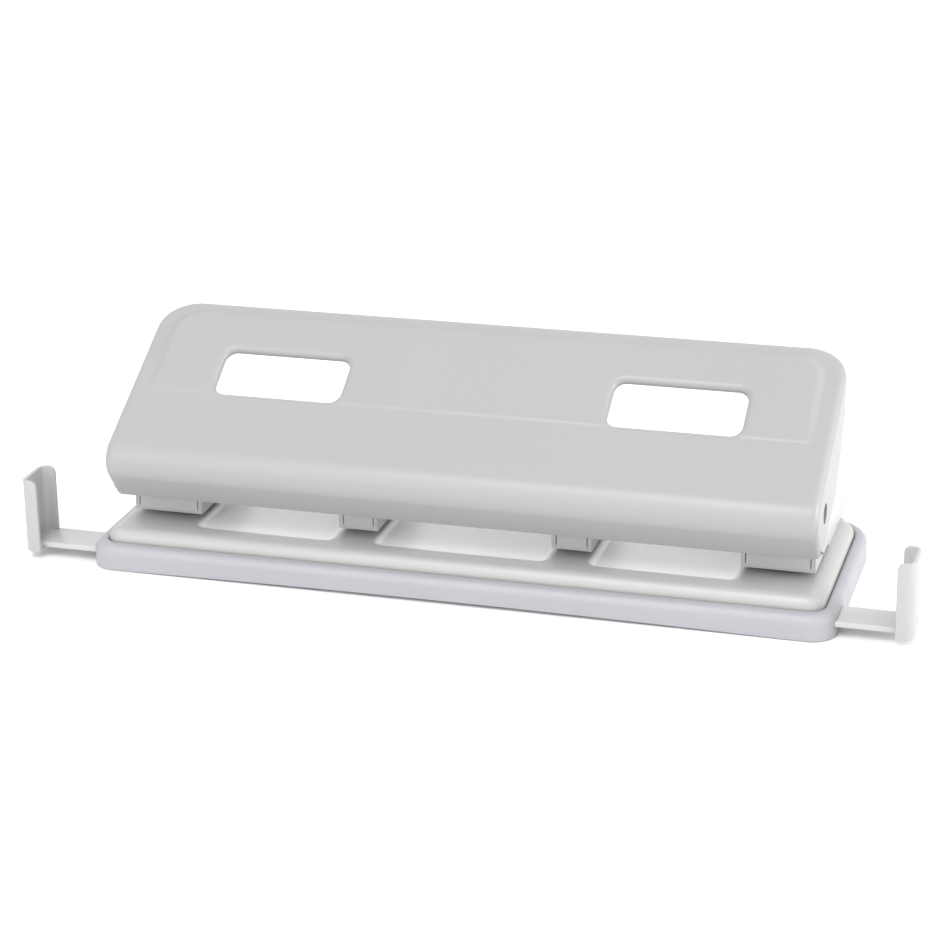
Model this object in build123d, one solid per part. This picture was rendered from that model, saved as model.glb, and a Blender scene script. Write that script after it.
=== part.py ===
from build123d import *
import os
from math import cos, radians, sin

# Four-hole desk punch: a long pressed-steel handle over four punch heads on a steel base plate,
# which sits in a plastic base shell with two pull-out paper guides and a hinged chip tray.
# Millimetres. +X runs along the punch, +Y runs away from the user, +Z is up.
# The origin is the middle of the footprint, on the table.

# ---- driving dimensions -------------------------------------------------------------------
HOLE_X = (-120.0, -40.0, 40.0, 120.0)      # four-hole filing pattern, 80 mm apart
PUNCH_Y = -7.2                              # line of the punch pins
PIN_R = 2.75                                # punched hole is 5.5 mm across
SHEET = 1.5                                 # base plate and bracket sheet

# base shell, the plastic lower half
SHELL_X, SHELL_Y = 137.6, 47.5              # half length and half depth
SHELL_TOP, SHELL_LOW = 9.5, 0.3
SHELL_WALL = 2.0
SHELL_FRONT_R, SHELL_BACK_R = 9.0, 18.0
SHOULDER_X, SHOULDER_Y = 4.6, 5.3           # width of the shoulder around the base plate
SHELL_EDGE_R, SHELL_LIP_R = 3.2, 1.2
FLOOR_LOW, FLOOR_TOP = 1.4, 3.2
ARCH_HALF, ARCH_RISE = 122.0, 1.1           # lower edge lifts between the corners

# base plate, pressed steel
PLATE_X, PLATE_Y = 132.9, 42.1
PLATE_TOP, PLATE_SKIRT_LOW = 14.2, 7.5
PLATE_FRONT_R, PLATE_BACK_R = 6.0, 14.0
PLATE_EDGE_R = 3.5
POCKET_DEPTH = 1.2
POCKET_Y = (-34.0, 30.0)
POCKETS_X = ((-102.5, -45.9), (-34.1, 34.1), (45.9, 102.5))

# brackets, one over each hole
BRACKET_FRONT_Y = -24.7
THROAT_BACK_Y = 4.8                         # the paper's edge stops here
THROAT_TOP = 16.0                           # the paper slot is 1.8 mm high
BRACKET_HALF = 7.35
END_BRACKET_REACH = 19.0                    # the end brackets reach this far inwards of their hole
GUIDE_TOP = THROAT_TOP + SHEET
BRIDGE_LOW, BRIDGE_TOP = 27.9, 29.4
BRIDGE_HALF_DEPTH = 9.0
FLAP_TOP = 27.0
FLAP_SEAM = 0.35                            # slit between the front flap and each ear
EAR_REST_Z = 30.5                           # ears stay below the press bar's lowest place
FOOT_Y = (6.0, 38.0)
RIVET_Y = (13.0, 30.0)
RIVET_R, RIVET_HEAD_R, RIVET_HEAD = 2.0, 3.4, 1.1
DIE_R, DIE_HEIGHT = 4.2, 3.2

# pivot and handle
PIVOT_Y, PIVOT_Z = -28.2, 40.0
SHAFT_R = 3.0
RUNNING_FIT = 0.05
HANDLE_X = 130.6
HANDLE_SHEET = 1.2
NOSE_Y, NOSE_Z, NOSE_R = -35.1, 40.2, 9.0
PANEL_SLOPE = radians(29.6)
LIP_ANGLE = radians(37.3)                   # the lip runs back down under the nose
LIP_REACH = 11.5
HANDLE_BACK_Y = 26.2
BACK_FLANGE = 12.0
HANDLE_CORNER_R = 15.0
HANDLE_EDGE_R = 4.0
WINDOW_X = (49.8, 98.2)
WINDOW_Y = (-15.8, 2.0)
WINDOW_R = 4.0
PRESS_BAR_R = 2.5
PRESS_BAR_TOP = 50.0
PRESS_BAR_GAP = 0.12                        # clearance over the pins at rest

# punch pins
PIN_LOW = THROAT_TOP + 0.3
PIN_TOP = PIVOT_Z - PRESS_BAR_R - PRESS_BAR_GAP
PIN_HEAD_R, PIN_HEAD = PIN_R + 1.1, 1.6
CLIP_Z = (26.2, 27.6)
CLIP_R = 4.7
CLIP_SEAT_R = PIN_R - 0.6
SPRING_R, SPRING_BORE_R = 4.4, 3.4

# paper guides
RAIL_Y = (-41.5, -27.0)
RAIL_Z = (4.0, 6.1)
RAIL_INNER_X = 85.0
STOP_X = (158.0, 164.2)
STOP_Y = (-45.0, -27.0)
STOP_Z = (3.0, 31.0)
STOP_WALL = 1.5

# chip tray, a door in the floor of the base shell
TRAY_X = 118.0
TRAY_Y = (-21.0, 24.0)
TRAY_LOW, TRAY_TOP = 1.5, 3.1
TRAY_HINGE_Z = 2.7
TRAY_GAP = 0.5
TRAY_RIM, TRAY_RIM_TOP = 1.4, 5.3
BARREL_R = 1.2
HINGE_PIN_R, HINGE_PIN_REACH = 0.7, 4.5

# posts under the base plate and the screws that hold the two halves together
POST_PLACES = ((-40.0, -34.0), (40.0, -34.0), (-109.0, 35.0), (109.0, 35.0))
POST_LOW, POST_BORE_TOP = 8.0, 11.5
POST_R, BOSS_R, SCREW_R = 3.0, 4.0, 1.45
SCREW_HEAD_R, SCREW_HEAD_TOP = 2.9, 3.6

# rubber feet
FOOT_PLACES = [(x, y) for x in (-122.0, 122.0) for y in (-33.0, 33.0)]
FOOT_R = 5.5


def cuboid(x, y, z):
    """Box between two corners, given as three (low, high) pairs."""
    size = (x[1] - x[0], y[1] - y[0], z[1] - z[0])
    middle = ((x[0] + x[1]) / 2, (y[0] + y[1]) / 2, (z[0] + z[1]) / 2)
    return Pos(*middle) * Box(*size)


def rod_z(x, y, low, high, radius):
    """Upright cylinder."""
    return Pos(x, y, (low + high) / 2) * Cylinder(radius, high - low)


def rod_x(x_low, x_high, y, z, radius):
    """Cylinder along X."""
    return Pos((x_low + x_high) / 2, y, z) * Rot(0, 90, 0) * Cylinder(radius, x_high - x_low)


def side_plate(outline, x_low, x_high):
    """Extrude an outline of (y, z) points, or of edges in the YZ plane, from x_low to x_high."""
    if isinstance(outline, list):
        outline = make_face(Polyline([(0, y, z) for y, z in outline], close=True))
    return Pos(x_low, 0, 0) * extrude(outline, amount=x_high - x_low, dir=(1, 0, 0))


def plan_block(half_x, half_y, front_r, back_r, low, high):
    """Upright block on a rectangle whose front and back corners have their own radii."""
    block = cuboid((-half_x, half_x), (-half_y, half_y), (low, high))
    upright = block.edges().filter_by(Axis.Z).sort_by(Axis.Y)
    block = fillet(upright[:2], front_r)
    return fillet(block.edges().filter_by(Axis.Z).sort_by(Axis.Y)[-2:], back_r)


def both_sides(make):
    """A piece made for the right-hand side, and its mirror image."""
    right = make()
    return {"right": right, "left": mirror(right, Plane.YZ)}


def write(name, shape):
    export_step(shape, os.path.join("parts", name + ".step"))


# ---- base ---------------------------------------------------------------------------------
def base_plate():
    inset = SHEET
    skin = plan_block(PLATE_X, PLATE_Y, PLATE_FRONT_R, PLATE_BACK_R, PLATE_SKIRT_LOW, PLATE_TOP)
    skin = fillet(skin.faces().sort_by(Axis.Z)[-1].edges(), PLATE_EDGE_R)
    hollow = plan_block(
        PLATE_X - inset, PLATE_Y - inset, PLATE_FRONT_R - inset, PLATE_BACK_R - inset,
        PLATE_SKIRT_LOW - 1, PLATE_TOP - inset,
    )
    hollow = fillet(hollow.faces().sort_by(Axis.Z)[-1].edges(), PLATE_EDGE_R - inset)
    plate = skin - hollow
    for low, high in POCKETS_X:
        under = PLATE_TOP - SHEET - POCKET_DEPTH
        plate += cuboid((low - SHEET, high + SHEET), (POCKET_Y[0] - SHEET, POCKET_Y[1] + SHEET),
                        (under, PLATE_TOP - SHEET))
        recess = cuboid((low, high), POCKET_Y, (PLATE_TOP - POCKET_DEPTH, PLATE_TOP + 1))
        plate -= fillet(recess.edges().filter_by(Axis.Z), 3.0)
    for x in HOLE_X:
        plate -= rod_z(x, PUNCH_Y, 0, 20, DIE_R)
        for y in RIVET_Y:
            plate -= rod_z(x, y, 0, 20, RIVET_R)
    return plate


def base_shell():
    skin = plan_block(SHELL_X, SHELL_Y, SHELL_FRONT_R, SHELL_BACK_R, SHELL_LOW, SHELL_TOP)
    skin = fillet(skin.faces().sort_by(Axis.Z)[-1].edges(), SHELL_EDGE_R)
    hollow = plan_block(
        SHELL_X - SHELL_WALL, SHELL_Y - SHELL_WALL, SHELL_FRONT_R - SHELL_WALL,
        SHELL_BACK_R - SHELL_WALL, FLOOR_TOP, SHELL_TOP - 1.8,
    )
    well = plan_block(
        SHELL_X - SHOULDER_X, SHELL_Y - SHOULDER_Y, SHELL_FRONT_R - SHOULDER_X + 1.4,
        SHELL_BACK_R - SHOULDER_X, FLOOR_TOP, SHELL_TOP + 1,
    )
    skin -= well
    lip = skin.faces().sort_by(Axis.Z)[-1].inner_wires()[0].edges()
    skin = fillet(lip, SHELL_LIP_R)
    underside = plan_block(
        SHELL_X - SHELL_WALL, SHELL_Y - SHELL_WALL, SHELL_FRONT_R - SHELL_WALL,
        SHELL_BACK_R - SHELL_WALL, SHELL_LOW - 1, FLOOR_LOW,
    )
    arch_line = ThreePointArc((-ARCH_HALF, 0, SHELL_LOW), (0, 0, SHELL_LOW + ARCH_RISE),
                              (ARCH_HALF, 0, SHELL_LOW))
    arch_face = make_face([arch_line, Line((-ARCH_HALF, 0, SHELL_LOW), (ARCH_HALF, 0, SHELL_LOW))])
    arch = Pos(0, -60, 0) * extrude(arch_face, amount=120, dir=(0, 1, 0))
    shell = skin - hollow - underside - arch
    shell -= cuboid((-TRAY_X - TRAY_GAP, TRAY_X + TRAY_GAP),
                    (TRAY_Y[0] - TRAY_GAP, TRAY_Y[1] + BARREL_R + TRAY_GAP), (0, FLOOR_TOP))
    slot_y = (RAIL_Y[0] - 0.3, RAIL_Y[1] + 0.3)
    slot_z = (RAIL_Z[0] - 0.2, RAIL_Z[1] + 0.2)
    for side in (-1, 1):
        reach = sorted((side * (SHELL_X - SHELL_WALL - 1), side * (SHELL_X + 1)))
        shell -= cuboid(reach, slot_y, slot_z)
        block = sorted((side * (TRAY_X + TRAY_GAP), side * (TRAY_X + 6)))
        shell += cuboid(block, (TRAY_Y[1] - 2.5, TRAY_Y[1] + 3), (FLOOR_LOW, TRAY_HINGE_Z + 2.3))
        bore = sorted((side * TRAY_X, side * (TRAY_X + HINGE_PIN_REACH)))
        shell -= rod_x(*bore, TRAY_Y[1], TRAY_HINGE_Z, HINGE_PIN_R)
    for x, y in POST_PLACES:
        shell += rod_z(x, y, FLOOR_LOW, POST_LOW, BOSS_R)
        shell -= rod_z(x, y, 0, POST_LOW + 1, SCREW_R + 0.15)
        shell -= rod_z(x, y, 0, SCREW_HEAD_TOP, SCREW_HEAD_R)
    return shell


def base_posts():
    """Threaded posts welded under the base plate, which the assembly screws run into."""
    posts = []
    for x, y in POST_PLACES:
        post = rod_z(x, y, POST_LOW, PLATE_TOP - SHEET, POST_R) - rod_z(x, y, 0, POST_BORE_TOP, SCREW_R)
        posts.append(post)
    return Compound(children=posts)


def assembly_screws():
    screws = []
    for x, y in POST_PLACES:
        head = rod_z(x, y, 1.8, SCREW_HEAD_TOP, SCREW_HEAD_R - 0.2)
        head -= cuboid((x - 2, x + 2), (y - 0.4, y + 0.4), (1, 2.5))
        head -= cuboid((x - 0.4, x + 0.4), (y - 2, y + 2), (1, 2.5))
        screws.append(head + rod_z(x, y, SCREW_HEAD_TOP - 0.1, 11.0, SCREW_R - 0.03))
    return Compound(children=screws)


def rubber_feet():
    feet = []
    for x, y in FOOT_PLACES:
        foot = rod_z(x, y, 0, FLOOR_LOW, FOOT_R)
        feet.append(chamfer(foot.edges().sort_by(Axis.Z)[:1], 0.4))
    return Compound(children=feet)


# ---- chip tray ----------------------------------------------------------------------------
def chip_tray():
    door = cuboid((-TRAY_X, TRAY_X), TRAY_Y, (TRAY_LOW, TRAY_TOP))
    door += rod_x(-TRAY_X, TRAY_X, TRAY_Y[1], TRAY_HINGE_Z, BARREL_R)
    rim_z = (TRAY_LOW, TRAY_RIM_TOP)
    door += cuboid((-TRAY_X, TRAY_X), (TRAY_Y[0], TRAY_Y[0] + TRAY_RIM), rim_z)
    for side in (-1, 1):
        ends = sorted((side * TRAY_X, side * (TRAY_X - TRAY_RIM)))
        door += cuboid(ends, (TRAY_Y[0], TRAY_Y[1] - 3), rim_z)
        bore = sorted((side * (TRAY_X - HINGE_PIN_REACH), side * (TRAY_X + 1)))
        door -= rod_x(*bore, TRAY_Y[1], TRAY_HINGE_Z, HINGE_PIN_R + RUNNING_FIT)
    finger_recess = cuboid((-12, 12), (TRAY_Y[0] - 1, TRAY_Y[0] + 5), (0, TRAY_LOW + 0.7))
    return door - finger_recess


def tray_hinge_pins():
    pins = []
    for side in (-1, 1):
        ends = sorted((side * (TRAY_X - HINGE_PIN_REACH + 0.3), side * (TRAY_X + HINGE_PIN_REACH)))
        pins.append(rod_x(*ends, TRAY_Y[1], TRAY_HINGE_Z, HINGE_PIN_R))
    return Compound(children=pins)


# ---- punch heads --------------------------------------------------------------------------
def bracket_span(x):
    """Low and high X of the bracket over the hole at x; the end ones reach inwards."""
    if x < -100:
        return x - BRACKET_HALF, x + END_BRACKET_REACH
    if x > 100:
        return x - END_BRACKET_REACH, x + BRACKET_HALF
    return x - BRACKET_HALF, x + BRACKET_HALF


def ear(x_low, x_high):
    """Side plate of a bracket, with the paper slot under its front and a tail to the back."""
    plate = side_plate(
        [
            (BRACKET_FRONT_Y, THROAT_TOP), (BRACKET_FRONT_Y, FLAP_TOP), (PIVOT_Y - 6.2, PIVOT_Z - 2.0),
            (PIVOT_Y - 6.2, PIVOT_Z + 2.5), (PIVOT_Y - 2.5, PIVOT_Z + 6.2),
            (PIVOT_Y + 2.5, PIVOT_Z + 6.2), (PIVOT_Y + 6.2, PIVOT_Z + 2.5),
            (PIVOT_Y + 7.0, EAR_REST_Z + 3), (PIVOT_Y + 10.0, EAR_REST_Z), (-1.0, EAR_REST_Z),
            (4.0, 33.5), (13.0, 32.5), (44.0, 18.5), (43.0, 15.6), (37.5, PLATE_TOP),
            (THROAT_BACK_Y, PLATE_TOP), (THROAT_BACK_Y, THROAT_TOP),
        ],
        x_low, x_high,
    )
    return plate - rod_x(x_low - 1, x_high + 1, PIVOT_Y, PIVOT_Z, SHAFT_R + 0.02)


def bracket(x):
    low, high = bracket_span(x)
    inner = (low + SHEET, high - SHEET)
    shape = ear(low, low + SHEET) + ear(high - SHEET, high)
    shape += cuboid(inner, (BRACKET_FRONT_Y, THROAT_BACK_Y), (THROAT_TOP, GUIDE_TOP))
    flap_x = (inner[0] + FLAP_SEAM, inner[1] - FLAP_SEAM)
    shape += cuboid(flap_x, (BRACKET_FRONT_Y, BRACKET_FRONT_Y + SHEET), (THROAT_TOP, FLAP_TOP))
    bridge_y = (PUNCH_Y - BRIDGE_HALF_DEPTH, PUNCH_Y + BRIDGE_HALF_DEPTH)
    shape += cuboid(inner, bridge_y, (BRIDGE_LOW, BRIDGE_TOP))
    shape += cuboid(inner, FOOT_Y, (PLATE_TOP, PLATE_TOP + SHEET))
    shape += cuboid(inner, (THROAT_BACK_Y, FOOT_Y[0]), (PLATE_TOP, GUIDE_TOP))
    shape -= rod_z(x, PUNCH_Y, 10, 40, PIN_R + RUNNING_FIT)
    for y in RIVET_Y:
        shape -= rod_z(x, y, 10, 20, RIVET_R)
    return shape


def bracket_rivets():
    rivets = []
    shank_low, shank_high = PLATE_TOP - SHEET, PLATE_TOP + SHEET
    for x in HOLE_X:
        for y in RIVET_Y:
            head = rod_z(x, y, shank_high, shank_high + RIVET_HEAD, RIVET_HEAD_R)
            head = fillet(head.edges().sort_by(Axis.Z)[-1:], 0.8)
            tail = rod_z(x, y, shank_low - RIVET_HEAD, shank_low, RIVET_HEAD_R)
            rivets.append(head + rod_z(x, y, shank_low, shank_high, RIVET_R - 0.01) + tail)
    return Compound(children=rivets)


def die_bush(x):
    """Hardened die pressed into the base plate, level with its top."""
    bush = rod_z(x, PUNCH_Y, PLATE_TOP - DIE_HEIGHT, PLATE_TOP, DIE_R - 0.01)
    return bush - rod_z(x, PUNCH_Y, 5, 20, PIN_R + RUNNING_FIT)


def punch_pin(x):
    """Punch pin with a hollow-ground cutting end, a clip groove and a domed head."""
    pin = rod_z(x, PUNCH_Y, PIN_LOW, PIN_TOP, PIN_R)
    head = rod_z(x, PUNCH_Y, PIN_TOP - PIN_HEAD, PIN_TOP, PIN_HEAD_R)
    pin += fillet(head.edges().sort_by(Axis.Z)[-1:], 0.7)
    groove = rod_z(x, PUNCH_Y, *CLIP_Z, PIN_R + 1) - rod_z(x, PUNCH_Y, *CLIP_Z, CLIP_SEAT_R)
    grind = Pos(x, PUNCH_Y, PIN_LOW - 3.2) * Rot(90, 0, 0) * Cylinder(4.2, 12)
    return pin - groove - grind


def pin_clip(x):
    """Open retaining clip that sits in the pin's groove and holds the spring."""
    clip = rod_z(x, PUNCH_Y, *CLIP_Z, CLIP_R) - rod_z(x, PUNCH_Y, 20, 40, CLIP_SEAT_R + 0.02)
    mouth = cuboid((x - 1.6, x + 1.6), (PUNCH_Y - 6, PUNCH_Y), (20, 40))
    return clip - mouth


def return_spring(x):
    """Envelope of the coil spring between the guide plate and the clip."""
    outside = rod_z(x, PUNCH_Y, GUIDE_TOP + 0.05, CLIP_Z[0] - 0.05, SPRING_R)
    return outside - rod_z(x, PUNCH_Y, 10, 40, SPRING_BORE_R)


# ---- pivot --------------------------------------------------------------------------------
RING_X = HOLE_X[3] + BRACKET_HALF - SHEET


def pivot_shaft():
    end = HANDLE_X - HANDLE_SHEET - 0.2
    shaft = rod_x(-end, end, PIVOT_Y, PIVOT_Z, SHAFT_R)
    for side in (-1, 1):
        groove_x = sorted((side * (RING_X - 0.2), side * (RING_X - 1.2)))
        groove = rod_x(*groove_x, PIVOT_Y, PIVOT_Z, SHAFT_R + 1)
        shaft -= groove - rod_x(*groove_x, PIVOT_Y, PIVOT_Z, SHAFT_R - 0.5)
    rims = shaft.edges().filter_by(GeomType.CIRCLE).sort_by(Axis.X)
    return chamfer([rims[0], rims[-1]], 0.4)


def shaft_rings():
    """Spring rings in the shaft's grooves, inside the outer ears."""
    rings = []
    for side in (-1, 1):
        span = sorted((side * (RING_X - 0.2), side * (RING_X - 1.2)))
        ring = rod_x(*span, PIVOT_Y, PIVOT_Z, 4.6) - rod_x(*span, PIVOT_Y, PIVOT_Z, SHAFT_R - 0.48)
        mouth = cuboid((span[0] - 1, span[1] + 1), (PIVOT_Y, PIVOT_Y + 7), (PIVOT_Z - 1.5, PIVOT_Z + 1.5))
        rings.append(ring - mouth)
    return Compound(children=rings)


def pivot_washers():
    washers = []
    for side in (-1, 1):
        span = sorted((side * (HOLE_X[3] + BRACKET_HALF + 0.1), side * (HANDLE_X - HANDLE_SHEET)))
        washer = rod_x(*span, PIVOT_Y, PIVOT_Z, 5.5)
        washers.append(washer - rod_x(-140, 140, PIVOT_Y, PIVOT_Z, SHAFT_R + RUNNING_FIT))
    return Compound(children=washers)


# ---- handle -------------------------------------------------------------------------------
def panel_z(y, inset=0.0):
    """Height of the sloping panel at y, for the outside or for a skin set in from it."""
    tangent_y = NOSE_Y - NOSE_R * sin(PANEL_SLOPE)
    tangent_z = NOSE_Z + NOSE_R * cos(PANEL_SLOPE)
    rise = (y - tangent_y) * sin(PANEL_SLOPE) / cos(PANEL_SLOPE)
    return tangent_z + rise - inset / cos(PANEL_SLOPE)


def handle_profile(inset, back_bottom, floor):
    """Side view of the handle: panel, rolled nose, straight lip, open below."""
    radius = NOSE_R - inset
    lip_turn = radians(180) + LIP_ANGLE
    start = (0, NOSE_Y - radius * sin(PANEL_SLOPE), NOSE_Z + radius * cos(PANEL_SLOPE))
    middle = (0, NOSE_Y - radius, NOSE_Z)
    end = (0, NOSE_Y + radius * cos(lip_turn), NOSE_Z + radius * sin(lip_turn))
    back = HANDLE_BACK_Y - inset
    lip = (0, end[1] + LIP_REACH * sin(LIP_ANGLE), end[2] - LIP_REACH * cos(LIP_ANGLE))
    top = (0, back, panel_z(back, inset))
    corner = (0, back, back_bottom)
    edges = [ThreePointArc(start, middle, end), Line(end, lip), Line(start, top), Line(top, corner)]
    points = [lip] + [(0, y, z) for y, z in floor] + [corner]
    edges += [Line(a, b) for a, b in zip(points, points[1:])]
    return make_face(edges)


def handle_block(inset, back_bottom, floor):
    """Solid inside one skin of the handle, with its rounded corners and edges."""
    half = HANDLE_X - inset
    block = side_plate(handle_profile(inset, back_bottom, floor), -half, half)
    corners = block.edges().filter_by(Axis.Z).group_by(Axis.Y)[-1]
    block = fillet(corners, HANDLE_CORNER_R - inset)
    uphill = Vector(0, -sin(PANEL_SLOPE), cos(PANEL_SLOPE))
    panel = block.faces().filter_by(lambda face: face.normal_at().dot(uphill) > 0.999)[0]
    # the fillet runs on by itself around the nose and down the lip
    rim = panel.edges().filter_by(lambda edge: edge.center().Y > NOSE_Y)
    return fillet(rim, HANDLE_EDGE_R - inset)


def handle():
    outside = handle_block(0, panel_z(HANDLE_BACK_Y) - BACK_FLANGE, [(-3.0, 39.5), (11.5, 62.0)])
    inside = handle_block(HANDLE_SHEET, 30.0, [(-30.0, 10.0), (HANDLE_BACK_Y, 10.0)])
    shell = outside - inside
    for side in (-1, 1):
        span = sorted((side * WINDOW_X[0], side * WINDOW_X[1]))
        cutter = cuboid(span, WINDOW_Y, (40, 100))
        shell -= fillet(cutter.edges().filter_by(Axis.Z), WINDOW_R)
    shell -= rod_x(-140, 140, PIVOT_Y, PIVOT_Z, SHAFT_R + RUNNING_FIT)
    return shell


def press_bar():
    """Stiffening bar across the handle; its rounded lower edge pushes the four pins."""
    half = HANDLE_X - HANDLE_SHEET
    web_y = (PUNCH_Y - SHEET / 2, PUNCH_Y + SHEET / 2)
    bar = rod_x(-half, half, PUNCH_Y, PIVOT_Z, PRESS_BAR_R)
    bar += cuboid((-half, half), web_y, (PIVOT_Z, PRESS_BAR_TOP))
    bar += cuboid((-half, half), (web_y[0], PUNCH_Y + 11.0), (PRESS_BAR_TOP - SHEET, PRESS_BAR_TOP))
    return bar


# ---- paper guides -------------------------------------------------------------------------
CHANNEL_X = (100.0, 132.0)


def guide_rail():
    rail = cuboid((RAIL_INNER_X, STOP_X[0] + STOP_WALL), RAIL_Y, RAIL_Z)
    return fillet(rail.edges().filter_by(Axis.Z).sort_by(Axis.X)[:2], 2.0)


def guide_stop():
    """Upright paper stop: a channel that is open towards the punch and at its top."""
    stop = cuboid(STOP_X, STOP_Y, STOP_Z)
    stop = fillet(stop.edges().filter_by(Axis.Z).sort_by(Axis.X)[-2:], 3.5)
    hollow = cuboid((STOP_X[0] - 1, STOP_X[1] - STOP_WALL),
                    (STOP_Y[0] + STOP_WALL, STOP_Y[1] - STOP_WALL), (RAIL_Z[1], STOP_Z[1] + 1))
    hollow = fillet(hollow.edges().filter_by(Axis.Z).sort_by(Axis.X)[-2:], 2.0)
    stop -= hollow
    stop -= cuboid((STOP_X[0] - 1, STOP_X[0] + STOP_WALL), RAIL_Y, RAIL_Z)
    free_corners = stop.edges().filter_by(Axis.Y).group_by(Axis.Z)[-1].group_by(Axis.X)[0]
    return fillet(free_corners, 2.5)


def rail_channel():
    """Clip on the floor of the base shell that the rail slides through."""
    clip = cuboid(CHANNEL_X, (RAIL_Y[0] - 1.5, RAIL_Y[1] + 1.8), (FLOOR_TOP, RAIL_Z[1] + 1.3))
    gap = cuboid((CHANNEL_X[0] - 1, CHANNEL_X[1] + 1), (RAIL_Y[0] - 0.3, RAIL_Y[1] + 0.3),
                 (RAIL_Z[0] - 0.2, RAIL_Z[1] + 0.2))
    return clip - gap


os.makedirs("parts", exist_ok=True)

write("base_plate", base_plate())
write("base_shell", base_shell())
write("base_posts", base_posts())
write("assembly_screws", assembly_screws())
write("rubber_feet", rubber_feet())
write("chip_tray", chip_tray())
write("tray_hinge_pins", tray_hinge_pins())
write("bracket_rivets", bracket_rivets())
for number, hole_x in enumerate(HOLE_X, start=1):
    write(f"bracket_{number}", bracket(hole_x))
    write(f"die_bush_{number}", die_bush(hole_x))
    write(f"punch_pin_{number}", punch_pin(hole_x))
    write(f"pin_clip_{number}", pin_clip(hole_x))
    write(f"return_spring_{number}", return_spring(hole_x))
write("pivot_shaft", pivot_shaft())
write("shaft_rings", shaft_rings())
write("pivot_washers", pivot_washers())
write("handle", handle())
write("press_bar", press_bar())
for maker in (guide_rail, guide_stop, rail_channel):
    for side, shape in both_sides(maker).items():
        write(f"{side}_{maker.__name__}", shape)
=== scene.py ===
"""Visible surfaces and finishes of a four-hole desk punch, built around its CAD frame.

Laid out as an add-on and run as a script. Everything is in metres, in the frame of the CAD model:
+X runs along the punch, +Y away from the user, +Z up, with the origin on the table.
"""
from math import cos, pi, radians, sin, tan

import bmesh
import bpy
import numpy as np
from mathutils import Matrix, Vector


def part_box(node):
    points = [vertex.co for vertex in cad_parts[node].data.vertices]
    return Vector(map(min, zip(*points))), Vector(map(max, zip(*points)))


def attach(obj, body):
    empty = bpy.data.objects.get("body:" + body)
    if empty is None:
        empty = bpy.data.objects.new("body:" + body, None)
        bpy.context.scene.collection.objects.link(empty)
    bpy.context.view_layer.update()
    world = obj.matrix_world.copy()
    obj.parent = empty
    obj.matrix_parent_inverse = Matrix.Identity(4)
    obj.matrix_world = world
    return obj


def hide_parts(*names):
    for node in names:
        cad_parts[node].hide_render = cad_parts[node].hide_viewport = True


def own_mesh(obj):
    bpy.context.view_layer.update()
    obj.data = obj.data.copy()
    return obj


bl_info = {
    "name": "Four-hole desk punch",
    "version": (1, 0, 0),
    "blender": (4, 5, 0),
    "location": "3D View > Sidebar > Punch",
    "description": "Pressed sheets, mouldings, springs and finishes of a long desk punch",
    "category": "Object",
}

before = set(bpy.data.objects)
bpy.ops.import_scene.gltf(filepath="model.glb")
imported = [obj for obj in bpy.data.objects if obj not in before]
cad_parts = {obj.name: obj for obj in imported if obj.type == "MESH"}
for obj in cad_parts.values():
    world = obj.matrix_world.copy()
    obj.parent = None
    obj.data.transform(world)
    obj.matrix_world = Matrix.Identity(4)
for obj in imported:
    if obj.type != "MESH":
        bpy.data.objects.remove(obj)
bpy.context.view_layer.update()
MM = 0.001
HEADS = (1, 2, 3, 4)
SIDES = ("left", "right")
FAR = 0.2                       # further out than any part of the handle or plate
TINY = 1e-9                     # keeps a division or an angle defined
JOIN_DISTANCE = 1e-6            # points closer than this are one point
SHARP_ANGLE = radians(38)       # a steeper edge between faces stays an edge
FLAT_ANGLE = radians(0.5)       # faces that meet at less than this are one face
DRILL_SIDES = 48                # facets of a drilled hole


def middle_of(node):
    """Middle of a CAD node's box."""
    low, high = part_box(node)
    return (low + high) / 2


# ---- grids and meshes ---------------------------------------------------------------------
def spaced(start, *stretches):
    """Grid lines from start through each (end, steps) stretch, evenly spaced within a stretch."""
    parts = [np.array([start])]
    for end, steps in stretches:
        parts.append(np.linspace(parts[-1][-1], end, steps + 1)[1:])
    return np.concatenate(parts)


def ease(t):
    """Smooth step: 0 below 0, 1 above 1, and 3t^2 - 2t^3 between."""
    t = np.clip(t, 0.0, 1.0)
    return t * t * (3 - 2 * t)


def mirrored(half):
    """Lines on both sides of zero from the lines on one side, which start at zero."""
    return np.concatenate([-half[:0:-1], half])


def rounded(x, y, centre, half, radius, fade=None):
    """Bends a square grid so that the rectangle with these half sizes gets round corners.

    Around a corner's centre the square ring at distance m becomes the circle of radius m. With
    fade, a ring further than radius + fade from that centre is left square.
    """
    out_x, out_y = np.abs(x - centre[0]), np.abs(y - centre[1])
    dx, dy = out_x - (half[0] - radius), out_y - (half[1] - radius)
    ring = np.maximum(dx, dy)
    in_corner = (dx > 0) & (dy > 0)
    scale = np.where(in_corner, ring / np.maximum(np.hypot(dx, dy), TINY), 1.0)
    if fade is not None:
        scale = 1 + (scale - 1) * (1 - ease((ring - radius) / fade))
    new_x = np.where(in_corner, half[0] - radius + dx * scale, out_x)
    new_y = np.where(in_corner, half[1] - radius + dy * scale, out_y)
    return centre[0] + np.sign(x - centre[0]) * new_x, centre[1] + np.sign(y - centre[1]) * new_y


def inside_depth(x, y, centre, half, radius):
    """Distance from a point inside a rounded rectangle to its outline; negative outside."""
    dx = np.abs(x - centre[0]) - (half[0] - radius)
    dy = np.abs(y - centre[1]) - (half[1] - radius)
    outside = np.hypot(np.maximum(dx, 0), np.maximum(dy, 0))
    return radius - outside - np.minimum(np.maximum(dx, dy), 0)


def rim_fall(inset, radius):
    """How far a quarter-round rim of this radius has dropped at an inset from its outer face."""
    part = np.clip(radius - inset, 0, radius)
    return radius - np.sqrt(radius ** 2 - part ** 2)


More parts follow.
